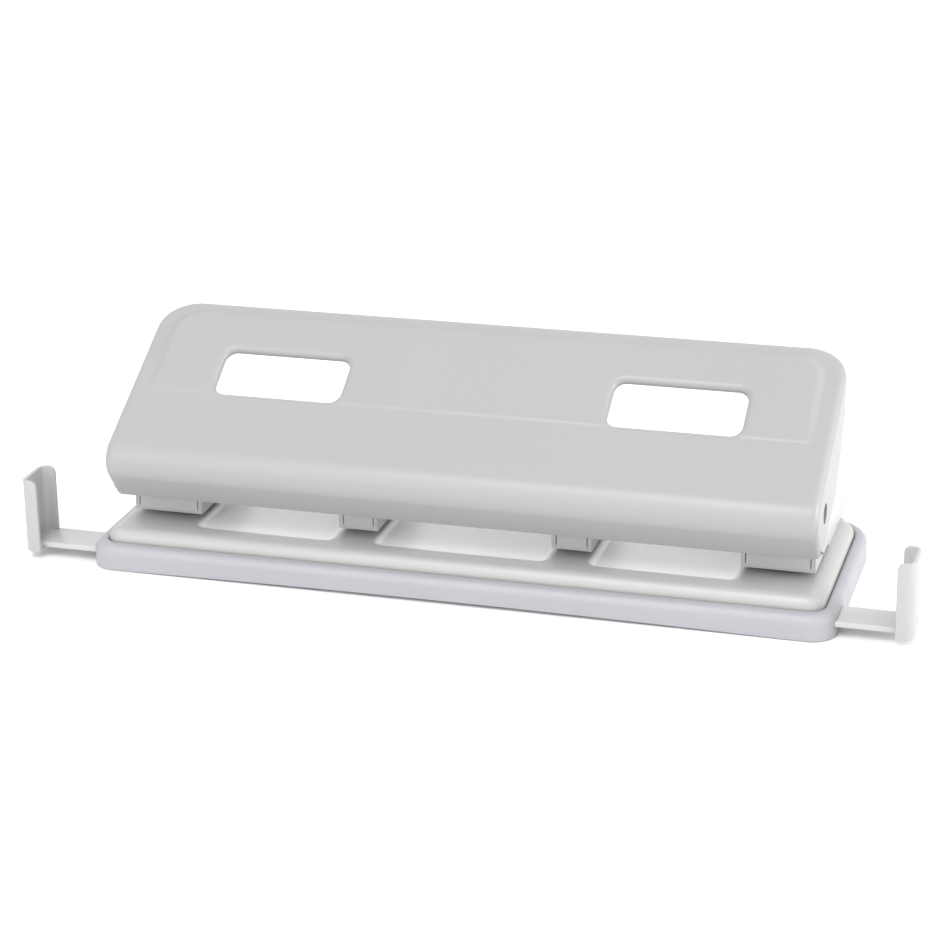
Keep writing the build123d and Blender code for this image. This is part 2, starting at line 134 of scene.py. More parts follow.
def grid_quads(rows, columns, wrap=False):
    """Quads between neighbouring points of a grid; wrap joins the last column to the first."""
    index = np.arange(rows * columns).reshape(rows, columns)
    if wrap:
        index = np.concatenate([index, index[:, :1]], axis=1)
    corners = (index[:-1, :-1], index[:-1, 1:], index[1:, 1:], index[1:, :-1])
    return np.stack(corners, axis=-1)


def piece_from(name, points, quads, outward=False):
    """Mesh object from an array of points and an array of quads, with equal points joined."""
    mesh = bpy.data.meshes.new(name)
    mesh.from_pydata(points.reshape(-1, 3), [], quads.reshape(-1, 4))
    work = bmesh.new()
    work.from_mesh(mesh)
    bmesh.ops.remove_doubles(work, verts=work.verts, dist=JOIN_DISTANCE)
    bmesh.ops.delete(work, geom=[v for v in work.verts if not v.link_faces], context="VERTS")
    if outward:
        bmesh.ops.recalc_face_normals(work, faces=work.faces)
    work.to_mesh(mesh)
    work.free()
    piece = bpy.data.objects.new(name, mesh)
    bpy.context.scene.collection.objects.link(piece)
    return piece


def settle(piece):
    """Applies the piece's modifiers and shades it smooth up to the sharp angle."""
    graph = bpy.context.evaluated_depsgraph_get()
    mesh = bpy.data.meshes.new_from_object(piece.evaluated_get(graph))
    piece.modifiers.clear()
    piece.data = mesh
    mesh.shade_smooth()
    mesh.set_sharp_from_angle(angle=SHARP_ANGLE)
    return piece


def thicken(piece, thickness):
    """Gives a sheet its thickness on the inner side."""
    wall = piece.modifiers.new("sheet", "SOLIDIFY")
    wall.thickness = thickness
    wall.offset = -1


def soften(piece, width, segments=2):
    """Rounds the piece's sharp edges."""
    edge = piece.modifiers.new("edges", "BEVEL")
    edge.width = width
    edge.segments = segments
    edge.limit_method = "ANGLE"
    edge.angle_limit = SHARP_ANGLE
    edge.harden_normals = False


def drill(piece, node, radius):
    """Cuts a round hole along X through the piece, on the middle line of a CAD node."""
    centre = middle_of(node)
    around = np.linspace(0, 2 * pi, DRILL_SIDES + 1)[:-1]
    ends = np.array([-FAR, -FAR, FAR, FAR])
    size = radius * np.array([0.0, 1.0, 1.0, 0.0])
    x = np.broadcast_to(ends[:, None], (len(ends), len(around)))
    y = centre.y + size[:, None] * np.cos(around)
    z = centre.z + size[:, None] * np.sin(around)
    points = np.stack([x, y, z], axis=-1)
    cutter = piece_from("drill", points, grid_quads(*x.shape, wrap=True), outward=True)
    hole = piece.modifiers.new("hole", "BOOLEAN")
    hole.operation = "DIFFERENCE"
    hole.solver = "EXACT"
    hole.object = cutter
    settle(piece)
    bpy.data.objects.remove(cutter)


def eased_copy(node, width, segments=2):
    """Copy of a CAD node with its facets merged and its sharp edges rounded; it stands for it."""
    work = bmesh.new()
    work.from_mesh(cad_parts[node].data)
    bmesh.ops.remove_doubles(work, verts=work.verts, dist=JOIN_DISTANCE)
    bmesh.ops.dissolve_limit(
        work, angle_limit=FLAT_ANGLE, verts=work.verts, edges=work.edges)
    mesh = bpy.data.meshes.new(node + "_eased")
    work.to_mesh(mesh)
    work.free()
    piece = bpy.data.objects.new(node + "_eased", mesh)
    bpy.context.scene.collection.objects.link(piece)
    soften(piece, width, segments)
    settle(piece)
    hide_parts(node)
    return piece


def place(piece, body, material):
    """Puts a finish on a piece and lets it move with a body."""
    piece.data.materials.clear()
    piece.data.materials.append(material)
    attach(piece, body)


def finish_nodes(nodes, material):
    """Gives CAD nodes a finish and leaves their shape alone."""
    for node in nodes:
        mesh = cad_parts[node].data
        mesh.materials.clear()
        mesh.materials.append(material)


# ---- finishes -----------------------------------------------------------------------------
NOISE_FOR_COLOUR = (0.35, 0.65)     # the part of a noise that sets the colour
NOISE_FOR_ROUGHNESS = (0.3, 0.7)    # the part of a noise that sets the roughness
ENAMEL_COAT = 0.15                  # weight of the clear coat on enamel
DISH_COAT = 1.0                     # the same in the dished fields
DISH_COAT_IOR = 1.8


class Finish:
    """A Principled material with its nodes added one by one; patterns read Object coordinates."""

    def __init__(self, name, colour, roughness, metallic=0.0):
        self.material = bpy.data.materials.new(name)
        self.material.use_nodes = True
        self.tree = self.material.node_tree
        self.shader = self.tree.nodes["Principled BSDF"]
        self.shader.inputs["Base Color"].default_value = (*colour, 1)
        self.shader.inputs["Roughness"].default_value = roughness
        self.shader.inputs["Metallic"].default_value = metallic
        self.colour = colour
        self.roughness = roughness
        self.where = self.tree.nodes.new("ShaderNodeTexCoord").outputs["Object"]
        self.last_bump = None

    def noise(self, scale, detail, stretch=(1, 1, 1)):
        """Noise with about `scale` features per metre, drawn out along an axis by stretch."""
        mapping = self.tree.nodes.new("ShaderNodeMapping")
        mapping.inputs["Scale"].default_value = [1 / s for s in stretch]
        self.tree.links.new(self.where, mapping.inputs["Vector"])
        pattern = self.tree.nodes.new("ShaderNodeTexNoise")
        pattern.inputs["Scale"].default_value = scale
        pattern.inputs["Detail"].default_value = detail
        self.tree.links.new(mapping.outputs["Vector"], pattern.inputs["Vector"])
        return pattern.outputs["Fac"]

    def spread(self, value, span, to_span):
        """Maps a value from one (low, high) span onto another."""
        node = self.tree.nodes.new("ShaderNodeMapRange")
        node.inputs["From Min"].default_value = span[0]
        node.inputs["From Max"].default_value = span[1]
        node.inputs["To Min"].default_value = to_span[0]
        node.inputs["To Max"].default_value = to_span[1]
        self.tree.links.new(value, node.inputs["Value"])
        return node.outputs["Result"]

    def vary_colour(self, value, share, tint=(1, 1, 1)):
        """Colour runs from a darker, tinted shade to the full colour as the value rises."""
        mix = self.tree.nodes.new("ShaderNodeMix")
        mix.data_type = "RGBA"
        dark = [c * (1 - share) * t for c, t in zip(self.colour, tint)]
        mix.inputs["A"].default_value = (*dark, 1)
        mix.inputs["B"].default_value = (*self.colour, 1)
        socket = self.shader.inputs["Base Color"]
        if socket.is_linked:
            self.tree.links.new(socket.links[0].from_socket, mix.inputs["B"])
        part = self.spread(value, NOISE_FOR_COLOUR, (0, 1))
        self.tree.links.new(part, mix.inputs["Factor"])
        self.tree.links.new(mix.outputs["Result"], socket)

    def tint_by(self, attribute, colour):
        """Colour turns into another one where the piece's own attribute goes from 0 to 1."""
        layer = self.tree.nodes.new("ShaderNodeAttribute")
        layer.attribute_name = attribute
        mix = self.tree.nodes.new("ShaderNodeMix")
        mix.data_type = "RGBA"
        socket = self.shader.inputs["Base Color"]
        self.tree.links.new(socket.links[0].from_socket, mix.inputs["A"])
        mix.inputs["B"].default_value = (*colour, 1)
        self.tree.links.new(layer.outputs["Fac"], mix.inputs["Factor"])
        self.tree.links.new(mix.outputs["Result"], socket)

    def coat_by(self, attribute, low, high):
        """Weight of the clear coat runs from low to high as the piece's attribute goes 0 to 1."""
        layer = self.tree.nodes.new("ShaderNodeAttribute")
        layer.attribute_name = attribute
        weight = self.spread(layer.outputs["Fac"], (0, 1), (low, high))
        self.tree.links.new(weight, self.shader.inputs["Coat Weight"])

    def vary_roughness(self, value, share):
        """Roughness moves up and down by this share of itself."""
        low, high = self.roughness * (1 - share), self.roughness * (1 + share)
        part = self.spread(value, NOISE_FOR_ROUGHNESS, (low, high))
        self.tree.links.new(part, self.shader.inputs["Roughness"])

    def bump(self, value, height):
        """Adds relief of this height in metres."""
        node = self.tree.nodes.new("ShaderNodeBump")
        node.inputs["Distance"].default_value = height
        self.tree.links.new(value, node.inputs["Height"])
        if self.last_bump is not None:
            self.tree.links.new(self.last_bump, node.inputs["Normal"])
        self.last_bump = node.outputs["Normal"]
        self.tree.links.new(self.last_bump, self.shader.inputs["Normal"])


def enamel(name, colour, roughness=0.37):
    """Baked enamel on pressed steel: faint orange peel, slow waviness and slight toning."""
    finish = Finish(name, colour, roughness)
    finish.shader.inputs["Coat Weight"].default_value = ENAMEL_COAT
    finish.shader.inputs["Coat Roughness"].default_value = 0.2
    finish.vary_colour(finish.noise(14, 1), 0.02, (1.0, 0.998, 0.99))
    finish.vary_colour(finish.noise(1400, 1), 0.012)
    finish.vary_roughness(finish.noise(60, 1), 0.08)
    finish.bump(finish.noise(260, 1), 0.003 * MM)
    finish.bump(finish.noise(1100, 1), 0.002 * MM)
    return finish


def moulded_plastic(name, colour):
    """Injection-moulded plastic with a fine spark-eroded grain and a trace of light inside."""
    finish = Finish(name, colour, 0.42)
    finish.shader.inputs["Subsurface Weight"].default_value = 0.06
    finish.shader.inputs["Subsurface Radius"].default_value = (1.2 * MM, 1.2 * MM, 1.4 * MM)
    finish.vary_colour(finish.noise(18, 3), 0.03, (0.995, 0.998, 1.0))
    finish.vary_roughness(finish.noise(140, 3), 0.12)
    finish.bump(finish.noise(3200, 3), 0.008 * MM)
    return finish.material


def plated_steel(name, colour, roughness, stretch, streaks=0.25):
    """Bare or plated steel: drawn-out streaks in colour and relief, and dull patches."""
    finish = Finish(name, colour, roughness, metallic=1.0)
    lines = finish.noise(1500, 4, stretch)
    finish.vary_colour(lines, streaks, (1.0, 0.98, 0.95))
    finish.vary_colour(finish.noise(160, 5), 0.12, (1.0, 0.97, 0.92))
    finish.vary_roughness(finish.noise(420, 4), 0.30)
    finish.bump(lines, 0.008 * MM)
    return finish.material


def soft_rubber(name, colour):
    """Dull moulded rubber with a fine leathery grain."""
    finish = Finish(name, colour, 0.75)
    finish.vary_colour(finish.noise(240, 4), 0.35)
    finish.vary_roughness(finish.noise(500, 3), 0.10)
    finish.bump(finish.noise(1900, 4), 0.03 * MM)
    return finish.material


# ---- sizes and colours that a user would change -------------------------------------------
def length(name, description, millimetres):
    """A length setting, given in millimetres."""
    return bpy.props.FloatProperty(
        name=name, description=description, default=millimetres * MM, unit="LENGTH", precision=5)


def angle(name, description, degrees):
    """An angle setting, given in degrees."""
    return bpy.props.FloatProperty(
        name=name, description=description, default=radians(degrees), subtype="ANGLE")


def tone(name, description, red, green, blue):
    """A colour setting."""
    return bpy.props.FloatVectorProperty(
        name=name, description=description, default=(red, green, blue), size=3, subtype="COLOR",
        min=0, max=1)


class PunchHandleSizes(bpy.types.PropertyGroup):
    """Pressing of the handle."""
    sheet: length("Sheet", "Thickness of the handle's sheet", 1.2)
    slope: angle("Slope", "Slope of the panel", 29.6)
    nose_radius: length("Nose radius", "Outer radius of the rolled front", 9.0)
    nose_y: length("Nose Y", "Where the middle of the rolled front is, along Y", -35.1)
    nose_z: length("Nose Z", "Height of the middle of the rolled front", 40.2)
    lip_angle: angle("Lip angle", "How far the lip turns back under the nose", 37.3)
    lip_reach: length("Lip", "Length of the straight lip", 11.5)
    back_flange: length("Back flange", "Depth of the flange along the back", 12.0)
    rim_radius: length("Rim radius", "Outer radius between panel and flanges", 4.0)
    corner_radius: length("Corner radius", "Radius of the back corners, seen from above", 15.0)
    window_inner: length("Window, inner end", "Distance from the middle to a window", 49.8)
    window_outer: length("Window, outer end", "Distance from the middle to its far end", 98.2)
    window_front: length("Window, front", "Y of a window's front edge", -15.8)
    window_back: length("Window, back", "Y of a window's back edge", 2.0)
    window_radius: length("Window corners", "Corner radius of a window", 4.0)
    window_roll: length("Window roll", "Width of the turned-down window edge", 2.2)
    window_turn: length("Window turn", "Depth of the turned-down window edge", 2.4)
    field_half: length("Raised field, half width", "Half width of the raised field", 124.0)
    field_back: length("Raised field, back", "Y of the raised field's back edge", 18.9)
    field_crease: length("Raised field, crease", "Y of the crease at its front", -16.7)
    field_radius: length("Raised field corners", "Radius of its back corners", 10.0)
    field_bevel: length("Raised field bevel", "Width of its sloping edge", 3.3)
    field_height: length("Raised field height", "Height at its back edge", 1.8)
    crease_height: length("Crease height", "Height just behind the crease", 0.38)
    crease_width: length("Crease width", "Width of the crease's step", 1.5)
    pivot_hole: length("Pivot hole", "Radius of the hole around the shaft in each flange", 3.7)
    end_rim_radius: length("End rim radius", "Outer radius between panel and end flanges", 2.8)


class PunchBaseSizes(bpy.types.PropertyGroup):
    """Pressing of the base plate."""
    sheet: length("Sheet", "Thickness of the base plate", 1.5)
    rim_radius: length("Rim height", "How far the plate's rounded edge drops", 4.7)
    end_stretch: bpy.props.FloatProperty(
        name="End stretch", description="Width of the rounded ends over their drop", default=1.5)
    front_radius: length("Front corners", "Radius of the front corners, from above", 6.0)
    back_radius: length("Back corners", "Radius of the back corners, from above", 14.0)
    dish_depth: length("Dish depth", "Depth of the dished fields between the heads", 1.15)
    dish_slope: length("Dish slope", "Width of a dish's sloping side", 4.2)
    dish_radius: length("Dish corners", "Radius of a dish's corners", 5.0)
    dish_front: length("Dish front", "Y of the dishes' front edge", -34.0)
    dish_back: length("Dish back", "Y of the dishes' back edge", 30.0)
    dish_clear: length("Dish clearance", "Distance from a hole to the dish beside it", 5.9)
    dish_end: length("Dish end", "How far out the outer dishes reach", 102.5)


class PunchColours(bpy.types.PropertyGroup):
    """Colours of the finishes, as linear light."""
    enamel: tone("Enamel", "Pressed steel, light warm grey", 0.338, 0.327, 0.328)
    # painted light: the handle's enamel made paler so the brackets, which sit in the handle's
    # shade, come out lighter
    bracket: tone("Bracket enamel", "Brackets, a shade paler", 0.48, 0.472, 0.470)
    plate: tone("Plate enamel", "Base plate, light warm grey", 0.425, 0.418, 0.412)
    # painted light: a paler, cooler colour in the dished fields that stands in for light and
    # reflection reaching them under the handle
    dish: tone("Dished fields", "Cooler, paler enamel in the dished fields", 0.93, 0.96, 0.97)
    shell: tone("Shell", "Base moulding, cool light grey", 0.372, 0.377, 0.402)
    guide: tone("Guides", "Paper stops, neutral light grey", 0.42, 0.42, 0.418)
    rail: tone("Rails", "Guide rails, light grey", 0.50, 0.50, 0.497)
    inner: tone("Inner mouldings", "Acetal parts inside", 0.74, 0.74, 0.72)
    washer: tone("Washers", "Dark nylon washers at the pivot", 0.10, 0.09, 0.08)
    steel: tone("Plated steel", "Rivets, screws, posts and tray pins", 0.50, 0.47, 0.42)
    shaft: tone("Shaft", "Dark drawn steel: shaft, rings and clips", 0.27, 0.24, 0.20)
    tool: tone("Tool steel", "Punch pins and dies", 0.42, 0.41, 0.39)
    wire: tone("Spring wire", "Return springs", 0.36, 0.35, 0.33)
    rubber: tone("Rubber", "Feet", 0.05, 0.05, 0.05)


class PunchView(bpy.types.PropertyGroup):
    """Where the camera stands, and the studio's light."""
    azimuth: angle("Azimuth", "Turn of the camera to the right", 16.4)
    elevation: angle("Elevation", "Height of the camera over the horizon", 20.0)
    roll: angle("Roll", "Tilt of the picture", -0.84)
    distance: length("Distance", "Camera to the middle of the punch", 949.1)
    lens: bpy.props.FloatProperty(
        name="Lens", description="Focal length on a 36 mm sensor", default=99.94, subtype="NONE")
    shift_x: bpy.props.FloatProperty(
        name="Shift X", description="Sideways shift of the lens", default=-0.0033)
    shift_y: bpy.props.FloatProperty(
        name="Shift Y", description="Upward shift of the lens", default=-0.0368)
    sky: bpy.props.FloatProperty(
        name="Room light", description="Strength of the even light all round", default=1.1)


# ---- handle -------------------------------------------------------------------------------
HANDLE_GRID_X = (111 * MM, 120 * MM)            # where the grid's spacing changes, out along X
HANDLE_GRID_Y = (-24 * MM, 8 * MM, 13.5 * MM)   # and back along Y
FLANGE_BEND_Y = (-3.0 * MM, 11.5 * MM)          # the side flange's lower edge bends at these
FLANGE_BEND_Z = (39.5 * MM, 62.0 * MM)
FLANGE_MEET_Y = -24 * MM                        # its foot at the first row of the panel
FLANGE_PLAIN_Y = -5 * MM                        # further back its rows run straight down
TILT_END_Y, TILT_WIDTH = 4 * MM, 20 * MM        # in front of this the end rim leans back
WINDOW_FADE = 3 * MM                            # how far a window's corner bends the grid


def window_plan(s):
    """Middle and half sizes of the right-hand window, seen from above."""
    centre = ((s.window_inner + s.window_outer) / 2, (s.window_front + s.window_back) / 2)
    half = ((s.window_outer - s.window_inner) / 2, (s.window_back - s.window_front) / 2)
    return centre, half


def panel_relief(x, y, s):
    """Relief of the handle's panel, along its normal.

    A raised field with a sloping edge at its back and ends; at its front it starts with a low
    crease and grows towards the back. At distance t from a window of roll r and turn d, the sheet
    is lower by d(1 - sqrt(1 - (1 - t/r)^2)), a quarter ellipse.
    """
    long_field = (s.field_half, FAR)
    centre = (0.0, s.field_back - long_field[1])
    depth = inside_depth(x, y, centre, long_field, s.field_radius)
    back = (y - s.field_crease) / (s.field_back - s.field_crease)
    height = s.crease_height + (s.field_height - s.crease_height) * np.clip(back, 0, 1)
    front = ease((y - s.field_crease) / s.crease_width + 0.5)
    relief = height * front * ease(depth / s.field_bevel)
    centre, half = window_plan(s)
    away = -inside_depth(np.abs(x), y, centre, half, s.window_radius)
    into = np.clip(1 - away / s.window_roll, 0, 1)
    return relief - s.window_turn * (1 - np.sqrt(1 - into ** 2))


def lower_edge(y, lip_y, lip_z, back_y, back_z):
    """Height of the side flange's lower edge: from the lip, up steeply, then along the panel."""
    return np.interp(y, [lip_y, *FLANGE_BEND_Y, back_y], [lip_z, *FLANGE_BEND_Z, back_z])


def handle_surface(s):
    """Outer skin of the handle as a grid, rows along its side view and columns along X.

    Row: lip, rolled nose (a circle), sloping panel, rim, back flange. Column: the row's line along
    X, then the rim, where the skin drops by r - sqrt(r^2 - (r - t)^2) at inset t from the end,
    then straight down the side flange to its lower edge. The back corners are rounded by turning
    square rings into circles.
    """
    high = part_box("handle")[1]
    end_x, back_y = high.x, high.y
    rim, slope, nose_r, roll = s.rim_radius, s.slope, s.nose_radius, s.window_roll
    end_rim, window_r = s.end_rim_radius, s.window_radius
    nose = np.array([s.nose_y, s.nose_z])
    tangent_angle, lip_start = pi / 2 + slope, pi + s.lip_angle
    tangent = nose + nose_r * np.array([cos(tangent_angle), sin(tangent_angle)])

    rim_reach = rim * (1 + sin(slope))
    rim_insets = rim_reach * (1 - np.sin(np.linspace(0, pi / 2, 11)))[1:]
    flange = np.linspace(0, 1, 7)[1:]
    curl = roll * (1 - np.sin(np.linspace(0, pi / 2, 9)))[1:]

    half_x = np.concatenate([
        spaced(0.0, (s.window_inner - roll, 10)),
        s.window_inner - curl,
        spaced(s.window_inner, (s.window_inner + window_r, 9), (s.window_outer - window_r, 8),
               (s.window_outer, 9))[1:],
        s.window_outer + curl[-2::-1],
        spaced(s.window_outer + roll, (HANDLE_GRID_X[0], 4), (HANDLE_GRID_X[1], 8),
               (end_x - rim_reach, 18)),
        end_x - rim_insets,
        np.full(len(flange), end_x)])
    x_line = mirrored(half_x)
    half_drop = np.concatenate([np.zeros(len(half_x) - len(flange)), flange])
    x_drop = np.abs(mirrored(half_drop))

    y_line = np.concatenate([
        spaced(tangent[0], (HANDLE_GRID_Y[0], 7), (s.window_front - roll, 10)),
        s.window_front - curl,
        spaced(s.window_front, (s.window_front + window_r, 9), (s.window_back - window_r, 5),
               (s.window_back, 9))[1:],
        s.window_back + curl[-2::-1],
        spaced(s.window_back + roll, (HANDLE_GRID_Y[1], 3), (HANDLE_GRID_Y[2], 7),
               (back_y - rim_reach, 16)),
        back_y - rim_insets,
        np.full(len(flange), back_y)])
    y_drop = np.concatenate([np.zeros(len(y_line) - len(flange)), flange])

    lip_turn = np.linspace(lip_start, tangent_angle, 27)[:-1]
    lip_along = np.linspace(1, 0, 5)[:-1]
    nose_normal = np.stack([np.cos(lip_turn), np.sin(lip_turn)], axis=-1)
    nose_points = nose + nose_r * nose_normal
    lip_normal = np.repeat(nose_normal[:1], len(lip_along), axis=0)
    down_lip = np.array([sin(s.lip_angle), -cos(s.lip_angle)])
    lip_points = nose_points[0] + lip_along[:, None] * s.lip_reach * down_lip
    front_points = np.concatenate([lip_points, nose_points])
    front_normal = np.concatenate([lip_normal, nose_normal])
    lip_y, lip_z = lip_points[0]

    def plane(y):
        """Height of the panel's outer face."""
        return tangent[1] + (y - tangent[0]) * tan(slope)

    back_low = plane(back_y) - s.back_flange
    inset_x = end_x - np.abs(x_line)
    end_fall = rim_fall(inset_x, end_rim)

    # lip and nose: the rim closes in along the normal, and the flange runs on to its lower edge
    skin = front_points[:, None, :] - end_fall[None, :, None] * front_normal[:, None, :]
    first_low = lip_y + end_rim * cos(s.lip_angle)
    low_y = np.linspace(first_low, FLANGE_MEET_Y, len(front_points))
    low_line = np.stack([low_y, lower_edge(low_y, lip_y, lip_z, back_y, back_low)], axis=-1)
    skin = skin + x_drop[None, :, None] * (low_line[:, None, :] - skin)
    front_x = np.broadcast_to(x_line, skin.shape[:2])
    front_grid = np.concatenate([front_x[..., None], skin], axis=-1)

    # panel, back rim and back flange
    x, y = np.meshgrid(x_line, y_line)
    drop = np.maximum(x_drop[None, :], y_drop[:, None])
    inset_x, inset_y = end_x - np.abs(x), back_y - y
    corner = np.array([end_x, back_y]) - s.corner_radius
    past_x, past_y = np.abs(x) - corner[0], y - corner[1]
    turn = np.arctan2(np.clip(past_y, 0, None), np.clip(past_x, TINY, None))
    share = np.where(past_y > 0, np.sin(turn) ** 2, 0.0)
    inset = np.minimum(inset_x, inset_y)
    side_way = rim_fall(inset, end_rim) / cos(slope)
    back_t = np.clip(inset, 0, rim_reach)
    circle = np.sqrt(np.clip(rim ** 2 - (back_t - rim) ** 2, 0, None))
    back_way = rim * (cos(slope) + (1 + sin(slope)) * tan(slope)) - back_t * tan(slope) - circle
    back_way = np.where(inset < rim_reach, back_way, 0.0)
    way_down = (1 - share) * side_way + share * back_way
    tilt = np.clip((TILT_END_Y - y) / TILT_WIDTH, 0, 1) * sin(slope)
    y = y + tilt * rim_fall(inset_x, end_rim)
    x, y = rounded(x, y, (0, back_y - FAR), (end_x, FAR), s.corner_radius)
    centre, half = window_plan(s)
    for side in (-1, 1):
        x, y = rounded(x, y, (side * centre[0], centre[1]), half, window_r, WINDOW_FADE)
    relief = panel_relief(x, y, s) * ease(inset / rim)
    skin_z = plane(y) - way_down + relief * cos(slope)
    skin_y = y - relief * sin(slope)
    low_y = np.interp(y, [tangent[0], FLANGE_PLAIN_Y, back_y],
                      [FLANGE_MEET_Y, FLANGE_PLAIN_Y, back_y])
    low_z = lower_edge(low_y, lip_y, lip_z, back_y, back_low)
    skin_z = skin_z + drop * (low_z - skin_z)
    skin_y = skin_y + drop * (low_y - skin_y)
    back_grid = np.stack([x, skin_y, skin_z], axis=-1)

    points = np.concatenate([front_grid, back_grid])
    quads = grid_quads(*points.shape[:2])
    row_y = np.concatenate([np.full(len(front_points), -1.0), y_line])
    row_mid = (row_y[:-1] + row_y[1:]) / 2
    x_mid = np.abs(x_line[:-1] + x_line[1:]) / 2
    in_x = (x_mid > s.window_inner) & (x_mid < s.window_outer)
    in_y = (row_mid > s.window_front) & (row_mid < s.window_back)
    in_window = in_y[:, None] & in_x[None, :]
    row_drop = np.concatenate([np.zeros(len(front_points)), y_drop])
    wall_row = np.maximum(row_drop[:-1], row_drop[1:]) > 0
    wall_column = np.maximum(x_drop[:-1], x_drop[1:]) > 0
    in_both_walls = wall_row[:, None] & wall_column[None, :]
    return points, quads[~in_window & ~in_both_walls]


class PUNCH_OT_handle(bpy.types.Operator):
    """Press the handle: one sheet with its rolled nose, flanges, raised field and two windows"""
    bl_idname = "punch.handle"
    bl_label = "Handle"

    def execute(self, context):
        s = context.scene.punch_handle
        paint = enamel("handle_enamel", context.scene.punch_colours.enamel).material
        piece = piece_from("handle_pressing", *handle_surface(s))
        thicken(piece, s.sheet)
        drill(piece, "pivot_shaft", s.pivot_hole)
        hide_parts("handle")
        place(piece, "handle", paint)
        return {"FINISHED"}


# ---- base plate ---------------------------------------------------------------------------
PLATE_GRID_X = (28 * MM, 51 * MM, 97 * MM, 103.5 * MM)          # the grid's spacing changes here,
PLATE_GRID_Y = (-34.5 * MM, -28.5 * MM, 24.5 * MM, 30.5 * MM)   # beside the dishes' sides
DISHED_AREA = (105 * MM, 36 * MM)                               # half sizes, around all dishes


def dish_plans(s):
    """Middle and half sizes of the three dished fields, between the punch heads.

    The left-hand dish ends as far out as the right-hand one, mirrored in the middle of the holes.
    """
    hole = [middle_of(f"die_bush_{n}").x for n in HEADS]
    edges = [(hole[0] + hole[3] - s.dish_end, hole[1] - s.dish_clear),
             (hole[1] + s.dish_clear, hole[2] - s.dish_clear),
             (hole[2] + s.dish_clear, s.dish_end)]
    middle_y = (s.dish_front + s.dish_back) / 2
    half_y = (s.dish_back - s.dish_front) / 2
    return [(((a + b) / 2, middle_y), ((b - a) / 2, half_y)) for a, b in edges]


def plate_surface(s):
    """Top skin of the base plate: a grid whose rim drops by a quarter circle into a short skirt.

    At the ends the quarter circle is stretched outwards into a quarter ellipse. The dishes lower
    the skin by a smooth step of the distance inside their outlines. Each die sits in a round hole.
    """
    low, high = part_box("base_plate")
    half = (high.x, high.y)
    rim, wide = s.rim_radius, s.end_stretch
    insets = rim * (1 - np.sin(np.linspace(0, pi / 2, 11)))[1:]
    skirt = np.linspace(0, 1, 4)[1:]
    die_low, die_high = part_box("die_bush_1")
    die_r = (die_high.x - die_low.x) / 2
    die_y = middle_of("die_bush_1").y
    hole_in, hole_out = middle_of("die_bush_3").x, middle_of("die_bush_4").x
    half_x = spaced(
        0.0, (PLATE_GRID_X[0], 7), (hole_in - die_r, 14), (hole_in + die_r, 8),
        (PLATE_GRID_X[1], 12), (PLATE_GRID_X[2], 9), (PLATE_GRID_X[3], 12),
        (hole_out - die_r, 6), (hole_out + die_r, 8), (half[0] - wide * rim, 3))
    half_x = np.concatenate([half_x, half[0] - wide * insets, np.full(len(skirt), half[0])])
    x_line = mirrored(half_x)
    x_drop = np.abs(mirrored(np.concatenate([np.zeros(len(half_x) - len(skirt)), skirt])))
    y_inner = spaced(
        -half[1] + rim, (PLATE_GRID_Y[0], 4), (PLATE_GRID_Y[1], 12), (die_y - die_r, 6),
        (die_y + die_r, 8), (PLATE_GRID_Y[2], 8), (PLATE_GRID_Y[3], 12), (half[1] - rim, 5))
    y_line = np.concatenate([
        np.full(len(skirt), -half[1]), -half[1] + insets[::-1], y_inner, half[1] - insets,
        np.full(len(skirt), half[1])])
    plain = np.zeros(len(y_line) - 2 * len(skirt))
    y_drop = np.concatenate([skirt[::-1], plain, skirt])
    x, y = np.meshgrid(x_line, y_line)
    drop = np.maximum(x_drop[None, :], y_drop[:, None])
    inset = np.minimum((half[0] - np.abs(x)) / wide, half[1] - np.abs(y))
    radius = np.where(y > 0, s.back_radius, s.front_radius)
    x, y = rounded(x, y, (0, 0), half, radius)
    for n in HEADS:
        centre = middle_of(f"die_bush_{n}")
        near = np.maximum(np.abs(x - centre.x), np.abs(y - centre.y)) < 3 * die_r
        new_x, new_y = rounded(x, y, (centre.x, centre.y), (die_r, die_r), die_r, die_r)
        x, y = np.where(near, new_x, x), np.where(near, new_y, y)
    z = high.z - rim_fall(inset, rim)
    for centre, size in dish_plans(s):
        depth = inside_depth(x, y, centre, size, s.dish_radius)
        z = z - s.dish_depth * ease(depth / s.dish_slope)
    z = z + drop * (low.z - z)
    points = np.stack([x, y, z], axis=-1)
    quads = grid_quads(*points.shape[:2])
    x_mid, y_mid = (x_line[:-1] + x_line[1:]) / 2, (y_line[:-1] + y_line[1:]) / 2
    wall_column = np.maximum(x_drop[:-1], x_drop[1:]) > 0
    wall_row = np.maximum(y_drop[:-1], y_drop[1:]) > 0
    keep = ~(wall_row[:, None] & wall_column[None, :])
    for n in HEADS:
        centre = middle_of(f"die_bush_{n}")
        in_x, in_y = np.abs(x_mid - centre.x) < die_r, np.abs(y_mid - centre.y) < die_r
        keep &= ~(in_y[:, None] & in_x[None, :])
    return points, quads[keep]


def mark_depth(piece, name, top, depth):
    """Stores on each point of the dished area how deep it lies: 0 at the top, 1 at full depth."""
    places = np.empty(len(piece.data.vertices) * 3)
    piece.data.vertices.foreach_get("co", places)
    x, y, z = places.reshape(-1, 3).T
    inner = (np.abs(x) < DISHED_AREA[0]) & (np.abs(y) < DISHED_AREA[1])
    layer = piece.data.attributes.new(name, "FLOAT", "POINT")
    layer.data.foreach_set("value", np.where(inner, ease((top - z) / depth), 0.0))


